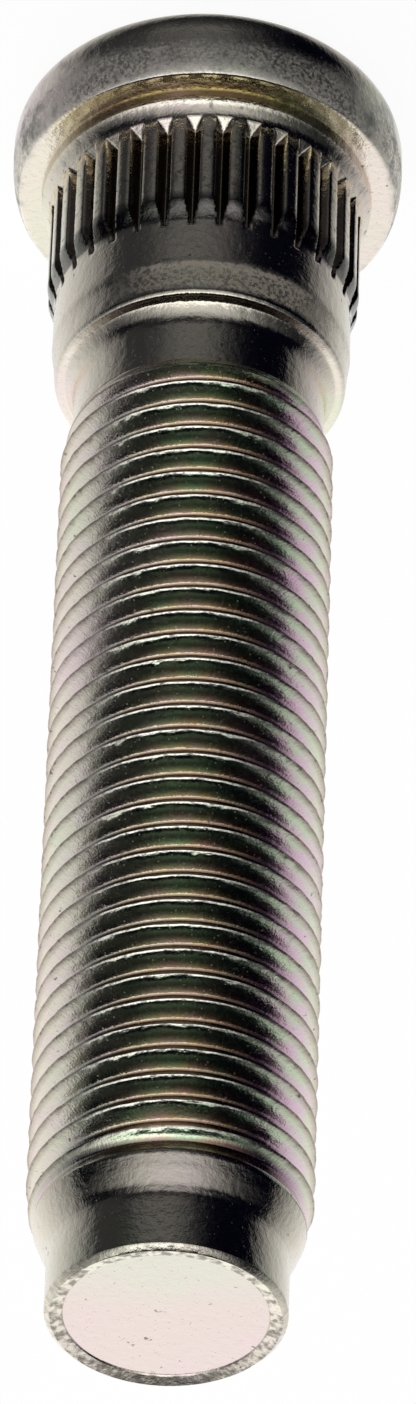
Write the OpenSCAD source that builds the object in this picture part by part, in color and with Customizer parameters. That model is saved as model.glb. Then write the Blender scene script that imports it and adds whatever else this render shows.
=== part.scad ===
/* [Head] */
// outside diameter of the round head
head_d = 20.26; // [18:0.02:24]
// thickness of the head, from its outer face to the seat under it
head_t = 4.4; // [3:0.05:7]
// width of the soft edge round the outer face of the head
head_edge_w = 0.85; // [0.2:0.05:1.2]
// height of the soft edge round the outer face of the head
head_edge_h = 1.5; // [0.4:0.05:1.8]
// width of the soft edge between the seat and the side of the head
seat_edge_w = 0.53; // [0.1:0.01:0.8]
// height of the soft edge between the seat and the side of the head
seat_edge_h = 0.9; // [0.1:0.01:1.2]
// how far the low collar under the head stands out past the serration crests
collar_out = 0.6; // [0.4:0.05:1.1]
// radius of the fillet between the collar and the serrated part
seat_fillet = 1.16; // [0.6:0.02:1.2]
// height above the seat of the middle of that fillet
seat_fillet_h = 1.44; // [1.2:0.02:1.6]
// width of the steep side of the collar
collar_side = 0.06; // [0.02:0.01:0.2]

/* [Serrations] */
// diameter over the crests of the serrations
serration_d = 16.1; // [15.4:0.05:17]
// number of serrations round the shank
serration_count = 33; // [24:1:40]
// depth of the serration grooves
serration_depth = 0.6; // [0.42:0.02:0.9]
// flat width left on each serration crest
serration_crest_w = 0.5; // [0.1:0.02:0.7]
// length from the seat to the place where the grooves open
serration_start = 1.4; // [1.3:0.02:2.4]
// length of the slope at the head end of each groove
serration_run_in = 0.6; // [0.3:0.02:1.5]
// length from the seat to the lower end of the serration crests
serration_crest_end = 7.05; // [5:0.05:7.6]
// length from the seat to the place where the grooves have run out
serration_end = 8.6; // [8:0.05:10]

/* [Shoulder and neck] */
// how far the plain shoulder lies below the serration crests
shoulder_drop = 0.4; // [0.2:0.02:0.5]
// how much less the radius of the shoulder is at its far end, after a slight taper
shoulder_taper = 0.15; // [0.02:0.01:0.4]
// length from the seat to the place where the taper of the shoulder starts
shoulder_straight = 10.9; // [9.5:0.05:11]
// length from the seat to the far end of the shoulder
shoulder_end = 12.95; // [11.5:0.05:14]
// radius of the edge at the far end of the shoulder
shoulder_edge = 0.3; // [0.1:0.05:0.5]
// diameter of the neck between the shoulder and the thread
neck_d = 12.8; // [12.4:0.05:13.2]
// length of the fillet between the shoulder and the neck
neck_fillet = 1.9; // [0.5:0.05:2.2]

/* [Thread] */
// diameter over the crests of the thread
thread_d = 13.9; // [13.7:0.02:13.98]
// distance from one thread crest to the next
thread_pitch = 1.5; // [1.25:0.25:2]
// depth of the thread from crest to root
thread_depth = 0.87; // [0.6:0.01:0.95]
// flat width on the thread crest
thread_crest_w = 0.19; // [0.1:0.01:0.3]
// length from the seat to the start of the thread
thread_start = 16.65; // [15.5:0.05:18]
// length over which the thread rises to its full depth
thread_rise = 1.85; // [0.5:0.05:3]
// length of the thread, run-outs included
thread_length = 49.45; // [30:0.05:60]
// length over which the thread fades at the tip end
thread_fade = 1.9; // [0.5:0.05:3]
// diameter where the thread has faded out
thread_end_d = 13.12; // [12.4:0.02:13.4]
// height of a thread crest above the seat plane on the front side
thread_phase = 0.44; // [-1:0.01:1]
// flat sides that stand for one turn of the thread
thread_sides = 24; // [16:1:28]

/* [Pilot tip] */
// diameter of the plain pilot
pilot_d = 11.64; // [10.5:0.02:12]
// length of the slope from the end of the thread to the pilot
pilot_slope = 2.1; // [1:0.05:3]
// length of the pilot from the foot of the slope to the tip
pilot_length = 3.0; // [2:0.05:6]
// size of the chamfer round the tip
tip_chamfer = 0.25; // [0.1:0.01:0.5]
// diameter of the flat face inside the sloping ring on the tip
tip_face_d = 9.82; // [9:0.02:10.6]
// depth of the flat face below the rim of the tip
tip_face_sink = 0.22; // [0.02:0.01:0.4]

/* [Hidden] */
$fn = 54;
seat_z = head_t;
head_r = head_d / 2;
serration_r = serration_d / 2;
root_r = serration_r - serration_depth;
shoulder_r = serration_r - shoulder_drop;
shoulder_r2 = shoulder_r - shoulder_taper;
neck_r = neck_d / 2;
step_r = shoulder_r2 - shoulder_edge;
major_r = thread_d / 2;
minor_r = major_r - thread_depth;
end_r = thread_end_d / 2;
pilot_r = pilot_d / 2;
collar_r = serration_r + collar_out - collar_side;
fillet_a = asin(1 - (collar_out - collar_side) / seat_fillet);
shoulder_z = seat_z + shoulder_end;
thread_z = seat_z + thread_start;
fade_z = thread_z + thread_length;
foot_z = fade_z + pilot_slope;
tip_z = foot_z + pilot_length;
flank = thread_depth * tan(30);
step = 0.02;
low_r = neck_r - step;
top_r = end_r - step;

// quarter of an ellipse about (r, z), from angle a0 to a1
function arc(r, z, w, h, a0, a1, n) =
    [for (i = [0 : n]) let (a = a0 + (a1 - a0) * i / n) [r + w * cos(a), z + h * sin(a)]];

// the section of the head, the serrated part, the shoulder and the neck
function lower_section() = concat(
    [[0, 0]],
    arc(head_r - head_edge_w, head_edge_h, head_edge_w, head_edge_h, -90, 0, 4),
    arc(head_r - seat_edge_w, seat_z - seat_edge_h, seat_edge_w, seat_edge_h, 0, 90, 3),
    [[collar_r + collar_side, seat_z]],
    arc(serration_r + seat_fillet, seat_z + seat_fillet_h, seat_fillet, seat_fillet,
        270 - fillet_a, 180, 4),
    [[serration_r, seat_z + serration_crest_end]],
    [[shoulder_r, seat_z + serration_end - 0.35], [shoulder_r, seat_z + shoulder_straight]],
    arc(step_r, shoulder_z - shoulder_edge, shoulder_edge, shoulder_edge, 10, 90, 3),
    arc(step_r, shoulder_z + neck_fillet, step_r - neck_r, neck_fillet, 265, 180, 5),
    [[neck_r, thread_z], [neck_r - 1, thread_z], [neck_r - 1, thread_z + 1], [0, thread_z + 1]]
);

// the section of the slope, the pilot and the tip
function upper_section() = concat(
    [[0, fade_z - 1], [end_r - 1, fade_z - 1], [end_r - 1, fade_z], [end_r, fade_z]],
    [[end_r - (end_r - pilot_r) * 0.37, fade_z + pilot_slope * 0.34],
     [end_r - (end_r - pilot_r) * 0.84, fade_z + pilot_slope * 0.70],
     [pilot_r + 0.02, fade_z + pilot_slope * 0.88],
     [pilot_r, foot_z]],
    [[pilot_r, tip_z - tip_chamfer], [pilot_r - tip_chamfer, tip_z]],
    [[tip_face_d / 2, tip_z - tip_face_sink], [0, tip_z - tip_face_sink]]
);

// one serration groove: a V whose ends slope up to the surface
module groove() {
    w = (2 * PI * serration_r / serration_count - serration_crest_w) / 2;
    out = 0.5;
    k = w / (serration_r - root_r);
    t = serration_r + out;
    s1 = serration_run_in / (serration_r - root_r);
    z1 = seat_z + serration_start;
    z2 = seat_z + serration_end;
    hw = k * (t - root_r);
    polyhedron(
        points = [
            [root_r, 0, z1 + serration_run_in], [t, hw, z1 - s1 * out], [t, -hw, z1 - s1 * out],
            [root_r, 0, z2 - 0.35], [t, hw, z2 + 0.6], [t, -hw, z2 + 0.6]
        ],
        faces = [[0, 2, 1], [3, 4, 5], [0, 1, 4, 3], [2, 0, 3, 5], [1, 2, 5, 4]]
    );
}

// crest and root radius of the thread at a height; both ends lie a hair inside the neck and the slope
function ramp(z, a, b) = min(1, max(0, (z - a) / (b - a)));
function crest_r(z) =
    low_r + (major_r - low_r) * ramp(z, thread_z, thread_z + thread_rise)
    - (major_r - top_r) * pow(ramp(z, fade_z - thread_fade, fade_z), 1.6);
function root_at(z) =
    low_r - (low_r - minor_r) * ramp(z, thread_z, thread_z + thread_rise)
    + (top_r - minor_r) * ramp(z, fade_z - thread_fade, fade_z);

// the thread: one closed surface that follows the right-hand helix
module thread_body() {
    n = thread_sides;
    turns = ceil(thread_length / thread_pitch) + 4;
    m = 4 * turns;
    off = [-thread_crest_w / 2, thread_crest_w / 2, thread_crest_w / 2 + flank,
           thread_pitch - thread_crest_w / 2 - flank];
    first = thread_phase + seat_z
        + thread_pitch * (floor((thread_z - seat_z - thread_phase) / thread_pitch) - 2);
    pts = [for (i = [0 : n - 1]) let (a = 360 * i / n)
        for (q = [0 : m - 1]) let (
            j = q % 4,
            zz = first + thread_pitch * (floor(q / 4) + i / n) + off[j],
            z = min(fade_z, max(thread_z, zz)),
            r = z <= thread_z ? low_r : z >= fade_z ? top_r : j < 2 ? crest_r(z) : root_at(z))
        [r * cos(a - 90), r * sin(a - 90), z]];
    function id(i, q) = i < n ? i * m + min(m - 1, q) : min(m - 1, q + 4);
    sides = [for (i = [0 : n - 1]) for (q = [0 : m - 2])
        for (t = [0, 1]) t == 0
            ? [id(i, q), id(i, q + 1), id(i + 1, q)]
            : [id(i + 1, q), id(i, q + 1), id(i + 1, q + 1)]];
    low = [for (i = [0 : n - 1]) id(i, 0)];
    top = [for (i = [n - 1 : -1 : 0]) id(i, m - 1)];
    polyhedron(points = pts, faces = concat(sides, [low, top]));
}

module wheel_stud() {
    color([0.62, 0.62, 0.55]) union() {
        difference() {
            rotate_extrude() polygon(lower_section());
            for (i = [0 : serration_count - 1])
                rotate([0, 0, 360 / serration_count * (i + 0.5) - 90]) groove();
        }
        thread_body();
        rotate_extrude() polygon(upper_section());
    }
}

wheel_stud();
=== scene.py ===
"""Wheel stud: a forged, thread-rolled steel stud with an iridescent zinc plate.

The stud is one piece of steel. Its skin is made here as two closed surfaces that
meet at the neck: the head with its serrated band and shoulder, and the threaded
shank with its pilot. Sizes are in millimetres until a mesh is written.
"""
from __future__ import annotations

import logging
import math
from dataclasses import dataclass, field
from enum import Enum

import bpy
import numpy as np
from mathutils import Matrix

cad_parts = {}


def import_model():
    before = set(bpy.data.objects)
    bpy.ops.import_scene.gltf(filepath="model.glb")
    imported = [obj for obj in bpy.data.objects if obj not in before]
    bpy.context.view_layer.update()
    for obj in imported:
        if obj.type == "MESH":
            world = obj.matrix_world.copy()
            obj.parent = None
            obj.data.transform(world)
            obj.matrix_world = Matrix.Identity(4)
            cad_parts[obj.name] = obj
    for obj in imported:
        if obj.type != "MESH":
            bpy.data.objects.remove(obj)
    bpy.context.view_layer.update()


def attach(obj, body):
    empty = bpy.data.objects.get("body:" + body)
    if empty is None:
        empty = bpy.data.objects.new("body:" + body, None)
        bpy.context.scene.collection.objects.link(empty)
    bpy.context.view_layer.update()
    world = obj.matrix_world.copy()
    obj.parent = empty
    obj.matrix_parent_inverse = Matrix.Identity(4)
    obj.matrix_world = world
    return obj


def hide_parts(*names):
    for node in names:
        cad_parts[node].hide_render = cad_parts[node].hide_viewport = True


LOG = logging.getLogger("wheel_stud")
MM = 0.001
NODE = "wheel_stud"
MARKS = ("crest", "rim", "groove_shade", "flank", "side", "rough")
Socket = bpy.types.NodeSocket
Point = tuple[float, float]


class Tint(Enum):
    """Colours of the chromate film, and of shade painted onto it, as linear RGB."""

    CREAM = (0.86, 0.80, 0.68)
    PALE = (0.92, 0.88, 0.79)
    GREEN = (0.64, 0.83, 0.57)
    PINK = (0.88, 0.67, 0.78)
    GOLD = (0.86, 0.77, 0.56)
    AMBER = (0.86, 0.61, 0.40)
    # painted shade deep in the thread's roots, in front
    ROOT_SHADE = (0.62, 0.43, 0.28)
    # painted shade on the thread's crests towards the sides
    SIDE_CREST_SHADE = (0.52, 0.44, 0.37)
    GREY = (0.34, 0.34, 0.32)
    OLIVE = (0.80, 0.70, 0.40)
    PLUM = (0.84, 0.48, 0.69)
    EMBER = (0.86, 0.46, 0.30)
    BLUSH = (0.82, 0.70, 0.66)
    MILK = (0.76, 0.74, 0.65)
    SOOT = (0.16, 0.15, 0.12)
    # painted shade: near black, for the groove walls, the corner under the collar and the
    # shoulder's step
    PAINTED_SHADE = (0.08, 0.05, 0.04)


@dataclass(frozen=True)
class Ripple:
    """Smooth seeded noise: a sum of plane waves with random directions."""

    seed: int
    wavelength: float
    waves: int = 28

    def at(self, points: np.ndarray) -> np.ndarray:
        """Evaluate the noise.

        Each wave is sin(k . p + phase), with |k| spread about 2 pi / wavelength.

        Args:
            points: array of shape (count, 3), millimetres.

        Returns:
            One value per point, with a spread of about 1.
        """
        rng = np.random.default_rng(self.seed)
        way = rng.normal(size=(self.waves, 3))
        way /= np.linalg.norm(way, axis=1)[:, None]
        rate = 2 * math.pi / self.wavelength * rng.uniform(0.6, 1.5, self.waves)
        phase = rng.uniform(0, 2 * math.pi, self.waves)
        return np.sin(points @ (way * rate[:, None]).T + phase).sum(1) / math.sqrt(self.waves / 2)


Layers = tuple[tuple[float, Ripple], ...]


def depth_of(layers: Layers, points: np.ndarray) -> np.ndarray:
    """Depth of dents: the size of the sum of all layers, each its height times its noise."""
    return np.abs(sum(height * ripple.at(points) for height, ripple in layers))


def ramp(value: np.ndarray, low: float, high: float) -> np.ndarray:
    """Straight ramp from 0 at low to 1 at high."""
    return np.clip((value - low) / (high - low), 0.0, 1.0)


def tint_of(shade: Tint) -> np.ndarray:
    """A tint as an array."""
    return np.array(shade.value)


def mixed(a: np.ndarray, b: np.ndarray, share: np.ndarray) -> np.ndarray:
    """Blend colours a and b; share is the part of b, one per point."""
    return a + (b - a) * np.asarray(share)[:, None]


def quarter(r: float, z: float, w: float, h: float, a0: float, a1: float, n: int) -> np.ndarray:
    """Points on an ellipse: (r + w cos a, z + h sin a) from a0 to a1 degrees."""
    a = np.radians(np.linspace(a0, a1, n))
    return np.stack([r + w * np.cos(a), z + h * np.sin(a)], axis=1)


def line(p: Point, q: Point, n: int) -> np.ndarray:
    """Evenly spaced points from p towards q, with q left out."""
    t = np.arange(n)[:, None] / n
    return np.array(p) * (1 - t) + np.array(q) * t


@dataclass(frozen=True)
class Nodes:
    """Short ways to add nodes to one shader tree."""

    tree: bpy.types.NodeTree

    @staticmethod
    def cleared(owner: bpy.types.Material | bpy.types.World) -> Nodes:
        """Switch a material or world to nodes, with an empty tree.

        Args:
            owner: the material or world.

        Returns:
            The helper for its tree.
        """
        owner.use_nodes = True
        owner.node_tree.nodes.clear()
        return Nodes(owner.node_tree)

    def make(self, kind: str, values: dict[int | str, object] | None = None,
             **settings: object) -> bpy.types.Node:
        """Add a node.

        Args:
            kind: the node's type.
            values: by an input's number or name, what feeds it: a socket, a Tint or a
                plain value.
            settings: the node's own settings.

        Returns:
            The node.
        """
        node = self.tree.nodes.new(kind)
        for name, setting in settings.items():
            setattr(node, name, setting)
        for key, value in (values or {}).items():
            if isinstance(value, Socket):
                self.tree.links.new(value, node.inputs[key])
            elif isinstance(value, Tint):
                node.inputs[key].default_value = (*value.value, 1.0)
            else:
                node.inputs[key].default_value = value
        return node

    def math(self, kind: str, first: object, second: object) -> Socket:
        """Add a Math node.

        Args:
            kind: the operation's name.
            first: a socket or a number.
            second: a socket or a number.

        Returns:
            The result.
        """
        return self.make("ShaderNodeMath", {0: first, 1: second}, operation=kind).outputs[0]

    def noise(self, place: Socket, scale: float, detail: float) -> Socket:
        """Add a noise field, about 0.5 in the middle.

        Args:
            place: where to sample it.
            scale: patterns per metre.
            detail: how many finer layers it has.

        Returns:
            The field.
        """
        return self.make("ShaderNodeTexNoise", {
            "Vector": place, "Scale": scale, "Detail": detail}).outputs[0]

    def span(self, value: Socket, low: float, high: float, to_low: float = 0.0,
             to_high: float = 1.0, smooth: bool = False) -> Socket:
        """Map low..high to to_low..to_high, clamped.

        Args:
            value: the socket to map.
            low: where the map starts.
            high: where it ends; it may be below low.
            to_low: the result at low.
            to_high: the result at high.
            smooth: True for a smooth step instead of a straight one.

        Returns:
            The mapped value.
        """
        return self.make("ShaderNodeMapRange", {
            "Value": value, "From Min": low, "From Max": high, "To Min": to_low,
            "To Max": to_high}, interpolation_type="SMOOTHSTEP" if smooth else "LINEAR").outputs[0]

    def step(self, value: Socket, low: float, high: float) -> Socket:
        """A smooth step, 0 at low and 1 at high."""
        return self.span(value, low, high, smooth=True)

    def mark(self, label: str, output: str = "Fac") -> Socket:
        """Read a point attribute of the mesh.

        Args:
            label: the attribute's name.
            output: Fac for its number, or Color.

        Returns:
            The attribute.
        """
        return self.make("ShaderNodeAttribute", attribute_name=label).outputs[output]

    def blend(self, share: object, first: object, second: object) -> Socket:
        """Mix two colours.

        Args:
            share: the part of the second colour.
            first: a socket, a Tint or a colour.
            second: a socket, a Tint or a colour.

        Returns:
            The mixed colour.
        """
        return self.make("ShaderNodeMix", {0: share, 6: first, 7: second},
                         data_type="RGBA").outputs[2]

    def curve(self, value: Socket, stops: list[tuple[float, tuple[float, float, float]]]
              ) -> list[Socket]:
        """Look three numbers up along one value, with straight lines between the stops.

        Args:
            value: the place on the curve, 0 to 1.
            stops: places in rising order, each with its three numbers.

        Returns:
            The three numbers.
        """
        node = self.make("ShaderNodeValToRGB", {0: value})
        node.color_ramp.interpolation = "LINEAR"
        marks = node.color_ramp.elements
        marks[0].position, marks[-1].position = stops[0][0], stops[-1][0]
        marks[0].color, marks[-1].color = (*stops[0][1], 1.0), (*stops[-1][1], 1.0)
        for place, three in stops[1:-1]:
            marks.new(place).color = (*three, 1.0)
        return list(self.make("ShaderNodeSeparateColor", {0: node.outputs[0]}).outputs)


@dataclass(frozen=True)
class Skin:
    """A closed triangle and quad surface, in millimetres.

    Each point has a film colour and six marks from 0 to 1 that the finish reads:
    crest for worn crests, rim for the scuffed ring of the tip, the groove mark for
    painted shade on the groove walls, flank for the thread's flanks, side for the
    mottled side of the head, and rough for matte bands, which may go above 1.
    """

    points: np.ndarray
    quads: np.ndarray
    tris: np.ndarray
    film: np.ndarray
    marks: dict[str, np.ndarray]

    def to_object(self, name: str, sharp_deg: float) -> bpy.types.Object:
        """Write the surface to a Blender mesh object at the origin.

        Args:
            name: the object's name.
            sharp_deg: edges that turn more than this stay crisp.

        Returns:
            The new object, linked to the scene.
        """
        used = np.unique(np.concatenate([self.quads.ravel(), self.tris.ravel()]))
        new_id = np.full(len(self.points), -1)
        new_id[used] = np.arange(len(used))
        quads, tris = new_id[self.quads], new_id[self.tris]
        mesh = bpy.data.meshes.new(name)
        mesh.vertices.add(len(used))
        mesh.vertices.foreach_set("co", (self.points[used] * MM).astype(np.float32).ravel())
        loops = np.concatenate([quads.ravel(), tris.ravel()]).astype(np.int32)
        mesh.loops.add(len(loops))
        mesh.loops.foreach_set("vertex_index", loops)
        start = np.concatenate([np.arange(len(quads)) * 4,
                                len(quads) * 4 + np.arange(len(tris)) * 3]).astype(np.int32)
        mesh.polygons.add(len(start))
        mesh.polygons.foreach_set("loop_start", start)
        mesh.update(calc_edges=True)
        mesh.polygons.foreach_set("use_smooth", np.ones(len(start), dtype=bool))
        colour = np.concatenate([self.film[used], np.ones((len(used), 1))], axis=1)
        mesh.attributes.new("film", "FLOAT_COLOR", "POINT").data.foreach_set(
            "color", colour.astype(np.float32).ravel())
        for label in MARKS:
            values = self.marks.get(label, np.zeros(len(self.points)))
            mark = mesh.attributes.new(label, "FLOAT", "POINT")
            mark.data.foreach_set("value", values[used].astype(np.float32))
        mesh.set_sharp_from_angle(angle=math.radians(sharp_deg))
        mesh.validate()
        thing = bpy.data.objects.new(name, mesh)
        bpy.context.scene.collection.objects.link(thing)
        return thing


def strip_faces(ids: np.ndarray) -> tuple[np.ndarray, np.ndarray]:
    """Join the columns of an id grid into faces that look outwards.

    Args:
        ids: (columns + 1, rows) vertex numbers; the last column repeats the first
            one, moved by one turn where the surface is a helix.

    Returns:
        The quads, and the triangles where two corners of a quad are one vertex.
    """
    a, b = ids[:-1, :-1].ravel(), ids[1:, :-1].ravel()
    c, d = ids[1:, 1:].ravel(), ids[:-1, 1:].ravel()
    flat_low, flat_high = a == b, c == d
    flat_left, flat_right = a == d, b == c
    whole = ~(flat_low | flat_high | flat_left | flat_right)
    quads = np.stack([a, b, c, d], axis=1)[whole]
    lists = []
    for gone, corners in ((flat_low, (a, c, d)), (flat_high, (a, b, c)),
                          (flat_left, (a, b, c)), (flat_right, (a, b, d))):
        lists.append(np.stack(corners, axis=1)[gone & ~whole])
    tris = np.unique(np.concatenate(lists), axis=0)
    same = (tris[:, 0] == tris[:, 1]) | (tris[:, 1] == tris[:, 2]) | (tris[:, 0] == tris[:, 2])
    return quads, tris[~same]


def fan(ring: np.ndarray, pole: int, up: bool) -> np.ndarray:
    """Close a ring with triangles to a pole.

    Args:
        ring: vertex numbers round the ring.
        pole: the pole's vertex number.
        up: True where the triangles look along +Z.

    Returns:
        One triangle per ring point.
    """
    nxt = np.roll(ring, -1)
    mid = np.full(len(ring), pole)
    return np.stack([ring, nxt, mid] if up else [nxt, ring, mid], axis=1)


@dataclass
class HeadAndShoulder:
    """The head, the serrated band, the plain shoulder and the neck.

    Heights count from the seat where a name ends in _at or _end, and in fillet_z and
    edge_band. All others, taper and neck_curve too, count from the face that the stud
    stands on. tooth holds the columns of half a tooth, as shares of its pitch from the
    groove's middle.
    """

    head_r: float = 10.13
    seat_z: float = 4.4
    outer_edge: Point = (0.85, 1.5)
    seat_edge: Point = (0.50, 2.1)
    edge_band: Point = (-2.7, -1.7)
    edge_r: float = 9.0
    collar_r: float = 8.60
    collar_side: float = 0.08
    fillet_r: float = 1.22
    fillet_z: float = 1.58
    serration_r: float = 8.05
    root_r: float = 7.45
    count: int = 33
    crest_w: float = 0.74
    run_in_at: float = 1.4
    run_in: float = 0.6
    crest_end: float = 6.75
    groove_end: float = 8.6
    end_lap: float = 0.35
    run_out: float = 1.26
    reach: Point = (0.2, 9.4)
    shoulder_r: float = 7.65
    straight_end: float = 10.9
    shoulder_z: float = 17.35
    shoulder_r2: float = 7.46
    shoulder_edge: float = 0.3
    taper: tuple[Point, ...] = ((7.565, 15.7), (7.52, 16.2), (7.49, 16.75))
    neck_curve: tuple[Point, ...] = (
        (6.95, 17.36), (6.89, 17.40), (6.82, 17.47), (6.65, 17.69), (6.55, 17.86),
        (6.47, 18.08), (6.425, 18.32), (6.41, 18.7), (6.4, 19.4))
    neck_r: float = 6.4
    top_z: float = 20.85
    crown: float = 0.03
    soft: float = 0.05
    dents: Layers = ((0.004, Ripple(5, 3.1)), (0.003, Ripple(6, 1.1)))
    tooth: tuple[float, ...] = (0.0, 0.02, 0.07, 0.14, 0.20, 0.24, 0.275, 0.39)

    @staticmethod
    def fall(p: Point, q: Point, n: int) -> np.ndarray:
        """Points from p towards q on half a cosine wave: level, down, level.

        Args:
            p: first point.
            q: last point, left out.
            n: number of points.

        Returns:
            The points, as (radius, height).
        """
        t = np.arange(n) / n
        ease = 0.5 - 0.5 * np.cos(math.pi * t)
        return np.stack([p[0] + (q[0] - p[0]) * ease, p[1] + (q[1] - p[1]) * t], 1)

    @staticmethod
    def joined(knots: tuple[Point, ...], n: int) -> np.ndarray:
        """Straight pieces through the knots, n points a piece, the last knot left out."""
        return np.concatenate([line(p, q, n) for p, q in zip(knots, knots[1:])])

    def section(self) -> np.ndarray:
        """Draw the profile from the outer face to the neck.

        Returns:
            The profile, as (radius, height) points.
        """
        ew, eh = self.outer_edge
        sw, sh = self.seat_edge
        flat_r, seat = self.head_r - ew, self.seat_z
        inner = self.collar_r - self.collar_side
        tilt = math.degrees(math.asin(1 - (inner - self.serration_r) / self.fillet_r))
        fillet_at = seat + self.fillet_z
        foot_z = fillet_at - self.fillet_r * math.cos(math.radians(tilt)) - 0.03
        crest_at = seat + self.run_in_at + self.run_in
        step_r = self.shoulder_r2 - self.shoulder_edge
        edge_z = self.shoulder_z - self.shoulder_edge
        end = seat + self.groove_end - self.end_lap
        plain = seat + self.groove_end + 0.2
        return np.concatenate([
            line((1.5, 0.0), (flat_r, 0.0), 10),
            quarter(flat_r, eh, ew, eh, -90, 0, 12)[:-1],
            line((self.head_r, eh), (self.head_r, seat - sh), 8),
            quarter(self.head_r - sw, seat - sh, sw, sh, 0, 90, 18)[:-1],
            line((self.head_r - sw, seat), (self.collar_r, seat), 5),
            line((self.collar_r, seat), (inner + 0.01, foot_z), 4),
            quarter(self.serration_r + self.fillet_r, fillet_at, self.fillet_r,
                    self.fillet_r, 270 - tilt, 180, 20)[:-1],
            line((self.serration_r, fillet_at), (self.serration_r, crest_at), 6),
            line((self.serration_r, crest_at), (self.serration_r, seat + self.crest_end), 14),
            self.fall((self.serration_r, seat + self.crest_end), (self.shoulder_r, end), 14),
            line((self.shoulder_r, end), (self.shoulder_r, plain), 5),
            line((self.shoulder_r, plain), (self.shoulder_r, seat + self.straight_end), 6),
            self.joined(((self.shoulder_r, seat + self.straight_end), *self.taper,
                         (self.shoulder_r2, edge_z)), 3),
            quarter(step_r, edge_z, self.shoulder_edge, self.shoulder_edge, 6, 90, 8)[:-1],
            self.joined(((step_r, self.shoulder_z), *self.neck_curve,
                         (self.neck_r, self.top_z)), 2),
            np.array([[self.neck_r, self.top_z]]),
        ])

    def angles(self) -> tuple[np.ndarray, np.ndarray]:
        """Place the columns round the stud, close together where a groove has its edges.

        Returns:
            The columns' angles, and each one's share of a tooth from its groove's middle.
        """
        half = np.array(self.tooth)
        share = np.concatenate([half, [0.5], -half[:0:-1]])
        turn = (np.arange(self.count)[:, None] + 0.5 + share[None, :]) / self.count
        order = np.argsort(turn.ravel())
        return (turn.ravel() * 2 * math.pi - math.pi / 2)[order], \
            np.tile(share, self.count)[order]

    def grooved(self, r: np.ndarray, z: np.ndarray, share: np.ndarray) -> np.ndarray:
        """Cut the V grooves into the blank.

        The groove's floor is the highest of its flank, the slope at its head end and
        the run-out at its far end; each crest is a low arch; the surface is the lower
        of floor and blank, with a soft corner between the two.

        Args:
            r: blank radius.
            z: height.
            share: place across the tooth, 0 in the groove's middle.

        Returns:
            The cut radius.
        """
        pitch = 2 * math.pi * self.serration_r / self.count
        half_w = (pitch - self.crest_w) / 2
        depth = self.serration_r - self.root_r
        across = np.abs(share) * pitch
        flank = self.root_r + depth * np.sqrt((across / half_w) ** 2 + 0.05 ** 2) - 0.03
        z_in = self.seat_z + self.run_in_at + self.run_in
        slope = self.root_r + (z_in - z) * depth / self.run_in
        z_out = self.seat_z + self.groove_end - self.end_lap
        out = self.root_r + (z - z_out) * self.run_out
        floor = np.maximum(np.maximum(flank, slope), out)
        off_crest = (0.5 - np.abs(share)) * pitch / (self.crest_w / 2)
        arch = ramp(z, z_in - 0.5, z_in + 0.2) * (1 - ramp(z, z_out - 1.4, z_out - 0.3))
        r = r - self.crown * np.minimum(off_crest, 1.6) ** 2 * arch
        gap, soft = floor - r, self.soft
        corner = soft * np.exp(-(gap / soft) ** 2)
        cut = r + 0.5 * (gap - np.sqrt(gap ** 2 + soft ** 2)) + 0.5 * corner
        return np.where(z < self.seat_z + 0.3, r, np.minimum(cut, r))

    def dented(self, points: np.ndarray) -> np.ndarray:
        """Press shallow dents into the skin, with none at the outer face and the neck's end.

        Args:
            points: vertex positions, millimetres.

        Returns:
            The moved points.
        """
        away = points.copy()
        away[:, 2] = 0
        away /= np.maximum(np.linalg.norm(away, axis=1), 1e-6)[:, None]
        z = points[:, 2]
        ease = ramp(z, 0.2, 1.2) * (1 - ramp(z, self.top_z - 0.4, self.top_z))
        return points - away * (depth_of(self.dents, points) * ease)[:, None]

    def painted_groove_shade(self, share: np.ndarray, prof: np.ndarray, r: np.ndarray,
                    z: np.ndarray) -> np.ndarray:
        """Mark painted shade on the groove walls, more where deeper; the run-in slope has none.

        Args:
            share: each column's place across its tooth.
            prof: the blank's profile.
            r: cut radius on the grid.
            z: height on the grid.

        Returns:
            The mark on the grid, 0 to 1.
        """
        cut = np.minimum(prof[None, :, 0], self.serration_r) - r
        cut[:, ~self.serrated(prof)] = 0.0
        run = self.run_in / (self.serration_r - self.root_r)
        wall = (np.abs(share) > 0.01)[:, None] & (z < self.seat_z + self.groove_end - 0.2) \
            & (z > self.seat_z + self.run_in_at + cut * run + 0.06)
        return np.clip(cut / 0.12, 0, 1) * wall

    def serrated(self, prof: np.ndarray) -> np.ndarray:
        """The profile rows that the grooves may reach."""
        low, high = self.reach
        return (prof[:, 1] > self.seat_z + low) & (prof[:, 1] < self.seat_z + high)

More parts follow.
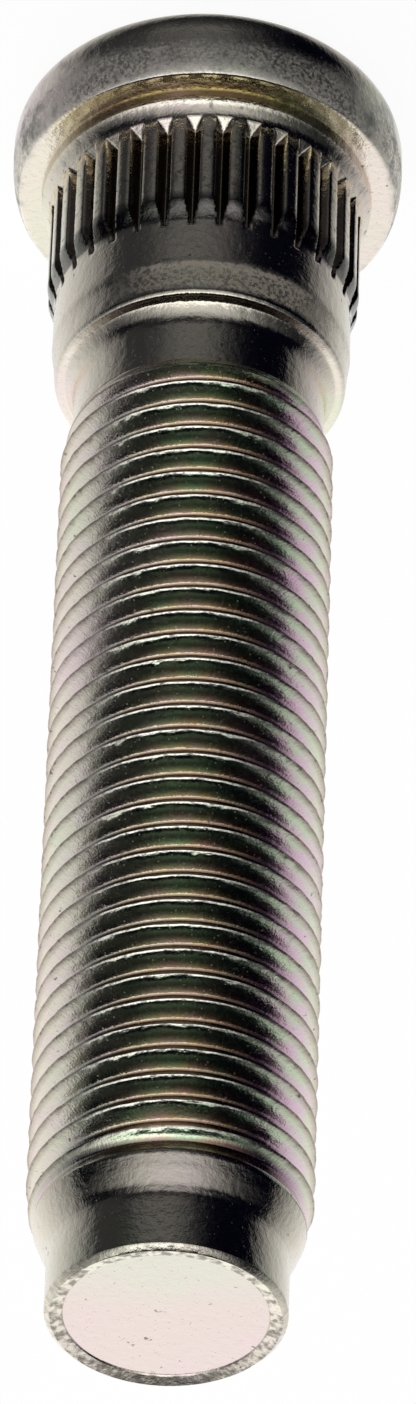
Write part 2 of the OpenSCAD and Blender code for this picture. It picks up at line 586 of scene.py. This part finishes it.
    def film_at(self, points: np.ndarray) -> np.ndarray:
        """Colour the film: cream, olive on the seat, and painted shade in the corners.

        Args:
            points: vertex positions, millimetres.

        Returns:
            One colour per point.
        """
        out = np.hypot(points[:, 0], points[:, 1])
        front = -points[:, 1] / np.maximum(out, 0.1)
        right = -points[:, 0] / np.maximum(out, 0.1)
        high = points[:, 2] - self.seat_z
        seat = (np.abs(high) < 0.02) & (out > self.collar_r - 0.1)
        # corner: painted shade where the seat meets the collar, strongest in front
        corner = (high > 0.02) & (high < 0.55) & (out > self.serration_r + 0.3)
        flange = (out > self.serration_r + 0.05) & (high > -0.6) & (high < 1.5)
        foot = (high > self.crest_end - 0.1) & (high < self.groove_end) \
            & (out > self.shoulder_r + 0.03)
        edge = ramp(high, *self.edge_band) * (high < -0.02) * (out > self.edge_r)
        # step: painted shadow on the shoulder's step under its edge, in front only
        step = (np.abs(points[:, 2] - self.shoulder_z) < 0.045) & (out < self.shoulder_r2 - 0.12)
        film = np.tile(tint_of(Tint.CREAM), (len(points), 1))
        for shade, strength, share in (
                (Tint.OLIVE, 1.0, seat * ramp(front, 0.45, 0.8)),
                # painted shade in the corner under the collar, darker in front
                (Tint.PAINTED_SHADE, 1.6, corner * (0.3 + 0.6 * ramp(front, 0.5, 0.8))),
                (Tint.BLUSH, 1.0, 0.5 * flange * ramp(right, 0.45, 0.9)),
                (Tint.GREEN, 1.0, 0.3 * flange * ramp(right, 0.25, 0.6)
                 * (1 - ramp(right, 0.65, 0.85))),
                (Tint.GREY, 0.75, foot * 0.9),
                (Tint.PALE, 1.06, edge),
                # painted shadow on the shoulder's step, in front
                (Tint.PAINTED_SHADE, 1.0, step * 0.9 * ramp(front, 0.35, 0.8))):
            film = mixed(film, tint_of(shade) * strength, share)
        return film

    def side_at(self, points: np.ndarray) -> np.ndarray:
        """Mark the mottled side of the head, most of all left and right.

        Args:
            points: vertex positions, millimetres.

        Returns:
            The mark, one value per point.
        """
        out = np.hypot(points[:, 0], points[:, 1])
        side = ramp(out, self.head_r - 0.7, self.head_r - 0.3)
        outer = (points[:, 2] < self.seat_z + 0.01) * side
        return outer * (0.4 + 0.6 * ramp(np.abs(points[:, 0]), 4.0, 9.0))

    def rough_at(self, points: np.ndarray) -> np.ndarray:
        """Mark the matte bands: the shoulder's taper in front, and the head below the seat.

        Args:
            points: vertex positions, millimetres.

        Returns:
            The mark, one value per point.
        """
        out = np.hypot(points[:, 0], points[:, 1])
        front = -points[:, 1] / np.maximum(out, 0.1)
        left = points[:, 0] / np.maximum(out, 0.1)
        high = points[:, 2] - self.seat_z
        start, end = self.straight_end, self.straight_end + 1.5
        taper = 1.5 * ramp(high, start - 0.1, start + 0.1) * (1 - ramp(high, end, end + 0.3))
        taper = taper * (0.15 + 0.85 * ramp(front - 0.25 * left, 0.62, 0.95))
        head = ramp(high, *self.edge_band) * (1 - ramp(high, -0.12, -0.02))
        return taper + 1.15 * head * (out > self.edge_r)

    def build(self) -> Skin:
        """Work out the whole surface on one grid of columns and rows.

        Returns:
            The closed skin.
        """
        prof = self.section()
        angle, share = self.angles()
        n, m = len(angle), len(prof)
        r = np.broadcast_to(prof[None, :, 0], (n, m)).copy()
        z = np.broadcast_to(prof[None, :, 1], (n, m)).copy()
        zone = self.serrated(prof)
        r[:, zone] = self.grooved(r[:, zone], z[:, zone], share[:, None])
        crest = np.zeros((n, m))
        crest[:, zone] = (np.abs(share) > 0.35)[:, None] & (r[:, zone] > self.shoulder_r + 0.1)
        grid = np.stack([r * np.cos(angle)[:, None], r * np.sin(angle)[:, None], z], axis=2)
        ends = [[0, 0, 0], [0, 0, self.top_z]]
        points = np.concatenate([self.dented(grid.reshape(-1, 3)), ends])
        ids = np.arange(n * m).reshape(n, m)
        quads, tris = strip_faces(np.concatenate([ids, ids[:1]]))
        low, top = n * m, n * m + 1
        tris = np.concatenate([tris, fan(ids[:, 0], low, False), fan(ids[:, -1], top, True)])
        poles = np.zeros(2)
        # painted shade in the grooves, darker where the cut is deeper
        groove_shade = self.painted_groove_shade(share, prof, r, z)
        return Skin(points, quads, tris, self.film_at(points), {
            "crest": np.concatenate([crest.ravel(), poles]),
            "groove_shade": np.concatenate([groove_shade.ravel(), poles]),
            "side": self.side_at(points), "rough": self.rough_at(points)})


@dataclass
class ThreadAndPilot:
    """The rolled thread, the slope behind it and the plain pilot.

    Heights count from the face that the stud stands on. crest_z is a height at which
    a crest faces the camera, with the helix drawn on towards the head.
    """

    major_r: float = 6.95
    pitch: float = 1.5
    depth: float = 0.88
    start_z: float = 20.85
    rise: float = 1.6
    sink: float = 0.5
    end_z: float = 70.5
    fade: float = 1.9
    neck_r: float = 6.4
    end_r: float = 6.56
    crest_z: float = 4.84
    foot_z: float = 72.6
    pilot_r: float = 5.82
    tip_z: float = 75.6
    tip_chamfer: float = 0.25
    face_r: float = 4.91
    face_sink: float = 0.22
    ring_r: float = 5.24
    ring_half: float = 0.31
    wear: Layers = ((0.016, Ripple(11, 1.4)), (0.010, Ripple(12, 0.6)))
    columns: int = 136

    def profile(self) -> tuple[np.ndarray, np.ndarray]:
        """One pitch of the thread: axial offsets from the crest, and height 0 to 1.

        The crest has a small lip towards the tip. The flanks stand at about 30
        degrees, a little hollow, and turn with a small round into the root.

        Returns:
            The offsets, and the heights.
        """
        place = np.array([
            (-0.10, 0.0), (-0.065, 0.0), (0.0, 0.058), (0.006, 0.067), (0.03, 0.110),
            (0.14, 0.318), (0.25, 0.515), (0.35, 0.680), (0.41, 0.765), (0.46, 0.820),
            (0.50, 0.852), (0.54, 0.872), (0.58, 0.880), (0.80, 0.880), (0.86, 0.862),
            (0.94, 0.790), (1.03, 0.665), (1.15, 0.475), (1.28, 0.245), (1.35, 0.10)])
        off, height = place[:, 0], 1 - place[:, 1] / self.depth
        return off, height

    def crest_r(self, z: np.ndarray) -> np.ndarray:
        """Crest radius: rises from the neck, then falls to the slope.

        Args:
            z: height.

        Returns:
            The radius over the crests there.
        """
        up = ramp(z, self.start_z, self.start_z + self.rise)
        down = ramp(z, self.end_z - self.fade, self.end_z) ** 1.6
        return self.neck_r + (self.major_r - self.neck_r) * up - (self.major_r - self.end_r) * down

    def root_at(self, z: np.ndarray) -> np.ndarray:
        """Root radius: sinks from the neck, then rises to the slope.

        Args:
            z: height.

        Returns:
            The radius in the roots there.
        """
        minor = self.major_r - self.depth
        up = ramp(z, self.start_z, self.start_z + self.sink)
        down = ramp(z, self.end_z - self.fade, self.end_z)
        return self.neck_r - (self.neck_r - minor) * up + (self.end_r - minor) * down

    def tip_section(self) -> np.ndarray:
        """Draw the profile from the end of the thread to the middle of the tip.

        Returns:
            The profile, as (radius, height) points.
        """
        slope = self.foot_z - self.end_z
        drop = self.end_r - self.pilot_r
        knots = np.array([[self.end_r, self.end_z],
                          [self.end_r - drop * 0.37, self.end_z + slope * 0.34],
                          [self.end_r - drop * 0.84, self.end_z + slope * 0.70],
                          [self.pilot_r + 0.02, self.end_z + slope * 0.88],
                          [self.pilot_r, self.foot_z]])
        t = np.linspace(0, 4, 21)[:-1]
        ease = np.stack([np.interp(t, range(5), knots[:, i]) for i in range(2)], 1)
        e, soft = self.tip_chamfer, 0.04
        pilot_end = (self.pilot_r, self.tip_z - e - soft)
        chamfer_low = (self.pilot_r - soft, self.tip_z - e + soft * 0.4)
        chamfer_high = (self.pilot_r - e + soft * 0.4, self.tip_z - soft)
        rim = (self.pilot_r - e - soft, self.tip_z)
        ring_foot = (self.face_r + 0.06, self.tip_z - self.face_sink + 0.07)
        face = (self.face_r, self.tip_z - self.face_sink)
        return np.concatenate([
            ease,
            line((self.pilot_r, self.foot_z), pilot_end, 12),
            line(pilot_end, chamfer_low, 1),
            line(chamfer_low, chamfer_high, 3),
            line(chamfer_high, rim, 1),
            line(rim, ring_foot, 6),
            line(ring_foot, face, 1),
            line(face, (0.6, self.tip_z - self.face_sink), 10),
        ])

    def film_at(self, points: np.ndarray, down: np.ndarray) -> np.ndarray:
        """Film colour on the thread: pale crests, green flanks, amber and pink roots, with
        painted shade on the crests at the sides and deep in the roots in front.

        Args:
            points: vertex positions, millimetres.
            down: 0 on the crest to 1 at the root.

        Returns:
            One colour per point.
        """
        side = points[:, 0] / self.major_r
        wall = ramp(np.abs(side), 0.5, 0.8)
        stops = (-1.0, -0.87, -0.6, -0.42, 0.0, 0.35, 0.6, 1.0)
        roots = np.array([tint_of(s) for s in (Tint.BLUSH, Tint.PINK, Tint.PLUM, Tint.EMBER,
                                               Tint.AMBER, Tint.GOLD, Tint.PALE, Tint.BLUSH)])
        root = np.stack([np.interp(side, stops, roots[:, c]) for c in range(3)], 1)
        wander = Ripple(21, 2.4).at(points)
        root = mixed(root, tint_of(Tint.PINK), 0.4 * ramp(wander, 0.0, 0.7) * (1 - side ** 2))
        green = np.interp(side, stops, (0.2, 0.7, 1.0, 1.0, 1.0, 0.7, 0.15, 0.0))
        green *= 1 - 0.2 * ramp(Ripple(22, 2.0).at(points), 0.1, 0.8)
        plain = np.tile(tint_of(Tint.CREAM), (len(points), 1))
        high = mixed(plain, tint_of(Tint.GREEN), green)
        # crests: pale in front, painted shade towards the sides
        crest = mixed(np.tile(tint_of(Tint.PALE), (len(points), 1)), tint_of(Tint.SIDE_CREST_SHADE), wall)
        film = mixed(crest, high, ramp(down, 0.04, 0.12 + 0.15 * wall))
        early = 0.25 * side ** 2
        film = mixed(film, root, ramp(down + early + 0.12 * wander, 0.43, 0.88))
        # deep: painted shade in the bottoms of the roots in front, dimming their highlight
        deep = ramp(down, 0.9, 0.98) * ramp(-np.abs(side), -0.6, -0.4)
        film = mixed(film, tint_of(Tint.ROOT_SHADE), deep)
        on_thread = (points[:, 2] > self.start_z) & (points[:, 2] < self.end_z)
        return mixed(tint_of(Tint.CREAM), film, on_thread)

    def helix(self, raw: np.ndarray, high: np.ndarray) -> np.ndarray:
        """Place the thread's points; the radius is root + (crest - root) * height.

        Near the neck the crest counts as full height, and the lower of that form and
        the rising crest radius is taken, so the first turn is cut flat. The crests
        are worn a little.

        Args:
            raw: height of each grid point before it is held between the ends.
            high: height on the thread, 0 at the root to 1 on the crest.

        Returns:
            The (x, y, z) points, one grid column after the other.
        """
        angle = np.arange(self.columns) / self.columns * 2 * math.pi - math.pi / 2
        z = np.clip(raw, self.start_z, self.end_z)
        root, crest_r = self.root_at(z), self.crest_r(z)
        whole = np.where(z < self.start_z + self.rise + 0.5, self.major_r, crest_r)
        r = np.minimum(root + (whole - root) * high, crest_r)
        grid = np.stack([r * np.cos(angle)[:, None], r * np.sin(angle)[:, None], z], 2)
        grid = grid.reshape(-1, 3)
        worn = depth_of(self.wear, grid)
        worn = worn * (high.ravel() > 0.9) * ramp(z.ravel(), self.start_z, self.start_z + 0.6) \
            * (1 - ramp(z.ravel(), self.end_z - 0.6, self.end_z))
        grid[:, :2] *= (1 - worn / np.maximum(r.ravel(), 1))[:, None]
        return grid

    def build(self) -> Skin:
        """Work out the helix and the pilot, and join them at one ring.

        Returns:
            The closed skin.
        """
        off, height = self.profile()
        n, j = self.columns, len(off)
        angle = np.arange(n) / n * 2 * math.pi - math.pi / 2
        turns = math.ceil((self.end_z - self.start_z) / self.pitch) + 4
        skipped = math.floor((self.start_z - self.crest_z) / self.pitch) - 2
        row = np.arange(turns * j)
        raw = self.crest_z + self.pitch * skipped + self.pitch * (row // j)[None, :] \
            + off[row % j][None, :] + self.pitch * (np.arange(n) / n)[:, None]
        high = np.broadcast_to(height[row % j][None, :], raw.shape)
        grid = self.helix(raw, high)
        tip = self.tip_section()
        k = len(tip)
        neck = np.stack([self.neck_r * np.cos(angle), self.neck_r * np.sin(angle),
                         np.full(n, self.start_z)], 1)
        cap = np.stack([tip[None, :, 0] * np.cos(angle)[:, None],
                        tip[None, :, 0] * np.sin(angle)[:, None],
                        np.broadcast_to(tip[None, :, 1], (n, k))], 2).reshape(-1, 3)
        base_neck = len(grid)
        base_tip = base_neck + n
        poles = [[0, 0, self.start_z], [0, 0, self.tip_z - self.face_sink]]
        points = np.concatenate([grid, neck, cap, poles])
        ids = np.arange(len(grid)).reshape(n, -1)
        low_id = (base_neck + np.arange(n))[:, None]
        top_id = (base_tip + np.arange(n) * k)[:, None]
        ids = np.where(raw <= self.start_z, low_id, np.where(raw >= self.end_z, top_id, ids))
        wrap = np.concatenate([ids[0, j:], np.full(j, ids[0, -1])])
        quads, tris = strip_faces(np.concatenate([ids, wrap[None, :]]))
        tip_ids = base_tip + np.arange(n * k).reshape(n, k)
        tip_quads, tip_tris = strip_faces(np.concatenate([tip_ids, tip_ids[:1]]))
        pole = len(points) - 2
        tris = np.concatenate([tris, tip_tris, fan(low_id.ravel(), pole, False),
                               fan(tip_ids[:, -1], pole + 1, True)])
        rest = np.zeros(len(points) - len(grid))
        film = self.film_at(points, np.concatenate([1 - high.ravel(), rest]))
        out = np.hypot(points[:, 0], points[:, 1])
        end = points[:, 2] > self.tip_z - self.tip_chamfer - 0.1
        face = end & (out < self.face_r + 0.02)
        film[face] = mixed(tint_of(Tint.BLUSH), tint_of(Tint.MILK),
                           ramp(-points[face, 1], 0.0, 4.0))
        ring = np.abs(out - self.ring_r) < self.ring_half
        rim = end * ((out > self.face_r + 0.02) * 0.4 + ring * 0.6)
        return Skin(points, np.concatenate([quads, tip_quads]), tris, film, {
            "crest": np.concatenate([(high.ravel() > 0.9) * 1.0, rest]), "rim": rim * 1.0,
            "flank": np.concatenate([(high.ravel() < 0.8) * 1.0, rest])})


@dataclass(frozen=True)
class ZincPlate:
    """Zinc plate: a bright metal whose thin film shifts in colour.

    The sizes are patterns per metre, so a larger number is a finer pattern.
    """

    name: str
    roughness: float = 0.11
    film_size: float = 150.0
    mottle_size: float = 800.0
    pit_size: float = 2300.0
    scuff_size: float = 2600.0
    speck_size: float = 2900.0
    matte_size: float = 5200.0
    haze_size: float = 6500.0
    grain_size: float = 9000.0
    coarse_size: float = 2500.0
    grain_depth: float = 0.00002
    grain_strength: float = 0.4
    line_rise: float = 6.0
    line_size: float = 55.0

    def material(self) -> bpy.types.Material:
        """Build the shader nodes.

        Returns:
            The material.
        """
        mat = bpy.data.materials.new(self.name)
        kit = Nodes.cleared(mat)
        place = kit.make("ShaderNodeTexCoord").outputs["Object"]
        patch = kit.noise(place, self.film_size, 3.0)
        dark = self.dark_marks(kit, place)
        bsdf = kit.make("ShaderNodeBsdfPrincipled", {
            "Metallic": 1.0, "Base Color": self.colour(kit, place, patch, dark),
            "Roughness": self.gloss(kit, place, patch, dark), "Normal": self.relief(kit, place)})
        kit.make("ShaderNodeOutputMaterial", {0: bsdf.outputs[0]})
        return mat

    def dark_marks(self, kit: Nodes, place: Socket) -> Socket:
        """Pits, chips on the worn crests, and scuffs on the rim of the tip.

        Args:
            kit: the material's nodes.
            place: Object coordinates.

        Returns:
            How dark a spot is, 0 to 1.
        """
        pits = kit.span(kit.noise(place, self.pit_size, 2.0), 0.70, 0.76, 0.0, 0.8)
        chips = kit.span(kit.noise(place, self.scuff_size, 3.0), 0.55, 0.68, 0.0, 0.6)
        chips = kit.math("MULTIPLY", kit.mark("crest"), chips)
        scuff = kit.span(kit.noise(place, self.scuff_size, 4.0), 0.42, 0.60, 0.0, 0.75)
        scuff = kit.math("MULTIPLY", kit.mark("rim"), scuff)
        return kit.math("MAXIMUM", kit.math("MAXIMUM", pits, chips), scuff)

    def colour(self, kit: Nodes, place: Socket, patch: Socket, dark: Socket) -> Socket:
        """The painted film: pink and green patches, mottle, painted groove shade, dark marks.

        Args:
            kit: the material's nodes.
            place: Object coordinates.
            patch: the broad noise of the film.
            dark: the dark marks.

        Returns:
            The base colour.
        """
        film = kit.mark("film", "Color")
        tint = kit.blend(kit.span(patch, 0.56, 0.74, 0.0, 0.4), film, Tint.PINK)
        tint = kit.blend(kit.span(patch, 0.44, 0.26, 0.0, 0.4), tint, Tint.GREEN)
        mottle = kit.span(kit.noise(place, self.mottle_size, 5.0), 0.50, 0.66, 0.0, 0.75)
        tint = kit.blend(kit.math("MULTIPLY", kit.mark("side"), mottle), tint, Tint.GREY)
        # painted shade on the groove walls, read from the groove mark
        tint = kit.blend(kit.math("MULTIPLY", kit.mark("groove_shade"), 0.85), tint, Tint.PAINTED_SHADE)
        return kit.blend(dark, tint, Tint.SOOT)

    def gloss(self, kit: Nodes, place: Socket, patch: Socket, dark: Socket) -> Socket:
        """Roughness: smooth, with haze, matte bands, dull marks and small specks.

        Args:
            kit: the material's nodes.
            place: Object coordinates.
            patch: the broad noise of the film.
            dark: the dark marks.

        Returns:
            The roughness.
        """
        rough = kit.span(patch, 0.3, 0.7, self.roughness - 0.03, self.roughness + 0.05)
        haze = kit.span(kit.noise(place, self.haze_size, 2.0), 0.50, 0.72, 0.0, 0.08)
        matte = kit.span(kit.noise(place, self.matte_size, 3.0), 0.38, 0.58, 0.22, 0.46)
        haze = kit.math("ADD", haze, kit.math("MULTIPLY", kit.mark("rough"), matte))
        rough = kit.math("ADD", kit.math("ADD", rough, haze), kit.math("MULTIPLY", dark, 0.25))
        cells = kit.make("ShaderNodeTexVoronoi", {"Vector": place, "Scale": self.speck_size})
        return kit.math("ADD", rough, kit.span(cells.outputs["Distance"], 0.17, 0.05, 0.0, 0.35))

    def relief(self, kit: Nodes, place: Socket) -> Socket:
        """Fine grain, coarser off the flanks, and lines that run down the flanks.

        The lines are noise at (x, y) / |(x, y)| and line_rise * z, so they are
        narrow round the stud and long from crest to root.

        Args:
            kit: the material's nodes.
            place: Object coordinates.

        Returns:
            The bumped normal.
        """
        x, y, z = kit.make("ShaderNodeSeparateXYZ", {0: place}).outputs
        flat = kit.make("ShaderNodeCombineXYZ", {0: x, 1: y}).outputs[0]
        turn = kit.make("ShaderNodeVectorMath", {0: flat}, operation="NORMALIZE").outputs[0]
        rise = kit.make("ShaderNodeCombineXYZ", {2: kit.math("MULTIPLY", z, self.line_rise)})
        way = kit.make("ShaderNodeVectorMath", {0: turn, 1: rise.outputs[0]}, operation="ADD")
        lines = kit.noise(way.outputs[0], self.line_size, 2.0)
        lines = kit.math("MULTIPLY", lines, kit.mark("flank"))
        fine = kit.noise(place, self.grain_size, 2.0)
        grain = kit.math("ADD", fine, kit.math("MULTIPLY", lines, 0.6))
        weight = kit.math("SUBTRACT", 3.2, kit.math("MULTIPLY", kit.mark("flank"), 2.0))
        coarse = kit.math("MULTIPLY", kit.noise(place, self.coarse_size, 3.0), weight)
        return kit.make("ShaderNodeBump", {
            "Strength": self.grain_strength, "Distance": self.grain_depth,
            "Height": kit.math("ADD", grain, coarse)}).outputs[0]


@dataclass
class Studio:
    """Camera, pale floor and soft world light.

    The camera's place is in millimetres and floor_half in metres. Each row of
    front_curve is a height z of the light's direction, then the front box's level,
    width and middle there.
    """

    lens: float = 248.65
    camera_at: tuple[float, float, float] = (0.0, -376.364, 341.574)
    right: tuple[float, float, float] = (-0.999337, -0.024405, -0.027027)
    up: tuple[float, float, float] = (0.036359, -0.627447, -0.777810)
    back: tuple[float, float, float] = (0.002024, -0.778277, 0.627918)
    bright: float = 1.1
    shade: tuple[float, float, float] = (0.0008, 0.001, 0.004)
    back_level: float = 0.14
    back_gain: float = 0.98
    side_gain: float = 0.11
    front_level: float = 1.6
    up_gain: float = 0.2
    left_fill: float = 0.03
    floor_half: float = 3.0
    floor_shade: tuple[float, float, float] = (0.85, 0.85, 0.85)
    floor_glow: float = 1.15
    glow_share: float = 0.8
    front_curve: tuple[tuple[float, float, float, float], ...] = (
        (-0.94, 0.01, 0.40, 0.12), (-0.766, 0.035, 0.40, 0.12), (-0.629, 0.085, 0.40, 0.12),
        (-0.5, 0.03, 0.41, 0.10), (-0.42, 0.005, 0.42, 0.09), (-0.36, 0.02, 0.43, 0.08),
        (-0.242, 0.09, 0.44, 0.06), (-0.087, 0.20, 0.46, 0.04), (0.052, 0.28, 0.62, 0.02),
        (0.174, 0.33, 0.66, 0.02), (0.342, 0.38, 0.64, 0.05), (0.53, 0.42, 0.60, 0.10),
        (0.669, 0.8, 0.58, 0.10), (0.788, 1.0, 0.58, 0.10), (0.839, 0.12, 0.5, 0.10),
        (0.9, 0.0, 0.5, 0.10))

    def add_camera(self) -> None:
        """Place the camera where the photograph was taken from, head end up."""
        data = bpy.data.cameras.new("photo_camera")
        data.lens = self.lens
        data.sensor_width = 36.0
        data.sensor_fit = "AUTO"
        data.clip_start = 0.01
        cam = bpy.data.objects.new("photo_camera", data)
        x, y, z, at = self.right, self.up, self.back, self.camera_at
        cam.matrix_world = Matrix([
            (x[0], y[0], z[0], at[0] * MM), (x[1], y[1], z[1], at[1] * MM),
            (x[2], y[2], z[2], at[2] * MM), (0, 0, 0, 1)])
        bpy.context.scene.collection.objects.link(cam)
        bpy.context.scene.camera = cam

    def back_light(self, kit: Nodes, x: Socket, y: Socket, z: Socket) -> Socket:
        """Pale light from behind and from the sides.

        The level is back_level + back_gain * y + side_gain * x, kept between zero and
        bright, plus up_gain where y and z are high, all faded out overhead.

        Args:
            kit: the world's nodes.
            x: the direction's x.
            y: the direction's y.
            z: the direction's z.

        Returns:
            The level.
        """
        back = kit.math("ADD", kit.math("MULTIPLY", y, self.back_gain), self.back_level)
        back = kit.math("ADD", back, kit.math("MULTIPLY", x, self.side_gain))
        back = kit.math("MINIMUM", kit.math("MAXIMUM", back, 0.0), self.bright)
        above = kit.math("MULTIPLY", kit.step(y, 0.0, 0.4), kit.step(z, 0.0, 1.0))
        back = kit.math("ADD", back, kit.math("MULTIPLY", above, self.up_gain))
        return kit.math("MULTIPLY", back, kit.step(z, 0.97, 0.74))

    def front_light(self, kit: Nodes, x: Socket, y: Socket, z: Socket) -> Socket:
        """A soft box in front, and a weak fill low on the left.

        The box is level * exp(-|(x - middle) / width|^3), all three from front_curve
        by height z, times a step that is 1 where y is below zero.

        Args:
            kit: the world's nodes.
            x: the direction's x.
            y: the direction's y.
            z: the direction's z.

        Returns:
            The level.
        """
        stops = [(0.5 + 0.5 * at, (level, width, middle))
                 for at, level, width, middle in self.front_curve]
        height = kit.math("ADD", kit.math("MULTIPLY", z, 0.5), 0.5)
        level, width, middle = kit.curve(height, stops)
        wide = kit.math("DIVIDE", kit.math("SUBTRACT", x, middle), width)
        wide = kit.math("POWER", kit.math("ABSOLUTE", wide, 0.0), 3.0)
        bell = kit.math("POWER", math.e, kit.math("MULTIPLY", wide, -1.0))
        near = kit.step(y, 0.1, -0.3)
        box = kit.math("MULTIPLY", kit.math("MULTIPLY", bell, level), near)
        box = kit.math("MULTIPLY", box, self.front_level)
        fill = kit.math("MULTIPLY", kit.step(x, 0.45, 0.8), kit.step(z, -0.1, -0.5))
        fill = kit.math("MULTIPLY", kit.math("MULTIPLY", fill, near), self.left_fill)
        return kit.math("ADD", box, fill)

    def add_world(self) -> None:
        """Light by direction, the sum of both lights and shade; the camera sees white."""
        world = bpy.data.worlds.new("studio")
        bpy.context.scene.world = world
        kit = Nodes.cleared(world)
        place = kit.make("ShaderNodeTexCoord").outputs["Generated"]
        way = kit.make("ShaderNodeSeparateXYZ", {0: place}).outputs
        back, front = self.back_light(kit, *way), self.front_light(kit, *way)
        levels = [kit.math("ADD", kit.math("ADD", back, front), least) for least in self.shade]
        total = kit.make("ShaderNodeCombineColor", dict(enumerate(levels))).outputs[0]
        seen = kit.make("ShaderNodeLightPath").outputs["Is Camera Ray"]
        sky = kit.make("ShaderNodeBackground", {"Color": kit.blend(seen, total, (1, 1, 1, 1))})
        kit.make("ShaderNodeOutputWorld", {0: sky.outputs[0]})

    def add_floor(self) -> None:
        """A pale floor that the camera sees as nearly white, with the soft shadow kept."""
        mesh = bpy.data.meshes.new("floor")
        s = self.floor_half
        mesh.from_pydata([(-s, -s, 0), (s, -s, 0), (s, s, 0), (-s, s, 0)], [], [(0, 1, 2, 3)])
        floor = bpy.data.objects.new("floor", mesh)
        bpy.context.scene.collection.objects.link(floor)
        mat = bpy.data.materials.new("pale_floor")
        kit = Nodes.cleared(mat)
        matt = kit.make("ShaderNodeBsdfDiffuse", {"Color": (*self.floor_shade, 1.0)})
        glow = kit.make("ShaderNodeEmission", {"Color": (1, 1, 1, 1), "Strength": self.floor_glow})
        seen = kit.make("ShaderNodeLightPath").outputs["Is Camera Ray"]
        share = kit.math("MULTIPLY", seen, self.glow_share)
        mix = kit.make("ShaderNodeMixShader", {0: share, 1: matt.outputs[0], 2: glow.outputs[0]})
        kit.make("ShaderNodeOutputMaterial", {0: mix.outputs[0]})
        mesh.materials.append(mat)
        floor.visible_glossy = False

    def build(self) -> None:
        """Set the stage and the colour management."""
        self.add_camera()
        self.add_world()
        self.add_floor()
        bpy.context.scene.view_settings.view_transform = "Standard"


@dataclass
class WheelStud:
    """The whole stud, made of its two skins."""

    head: HeadAndShoulder = field(default_factory=HeadAndShoulder)
    thread: ThreadAndPilot = field(default_factory=ThreadAndPilot)

    def build(self) -> list[bpy.types.Object]:
        """Build and dress both skins and tie them to the frame.

        Returns:
            The two objects.
        """
        plate = ZincPlate("zinc_plate").material()
        made = []
        for name, part, sharp in (("stud_head", self.head, 38.0),
                                  ("stud_thread", self.thread, 32.0)):
            piece = part.build().to_object(name, sharp)
            piece.data.materials.append(plate)
            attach(piece, "root")
            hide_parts(NODE)
            triangles = len(piece.data.loops) - 2 * len(piece.data.polygons)
            LOG.info("%s: %d triangles", name, triangles)
            made.append(piece)
        return made


def main() -> None:
    """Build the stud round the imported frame, then the studio."""
    logging.basicConfig(level=logging.INFO, format="%(name)s: %(message)s")
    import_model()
    WheelStud().build()
    Studio().build()


if __name__ == "__main__":
    main()
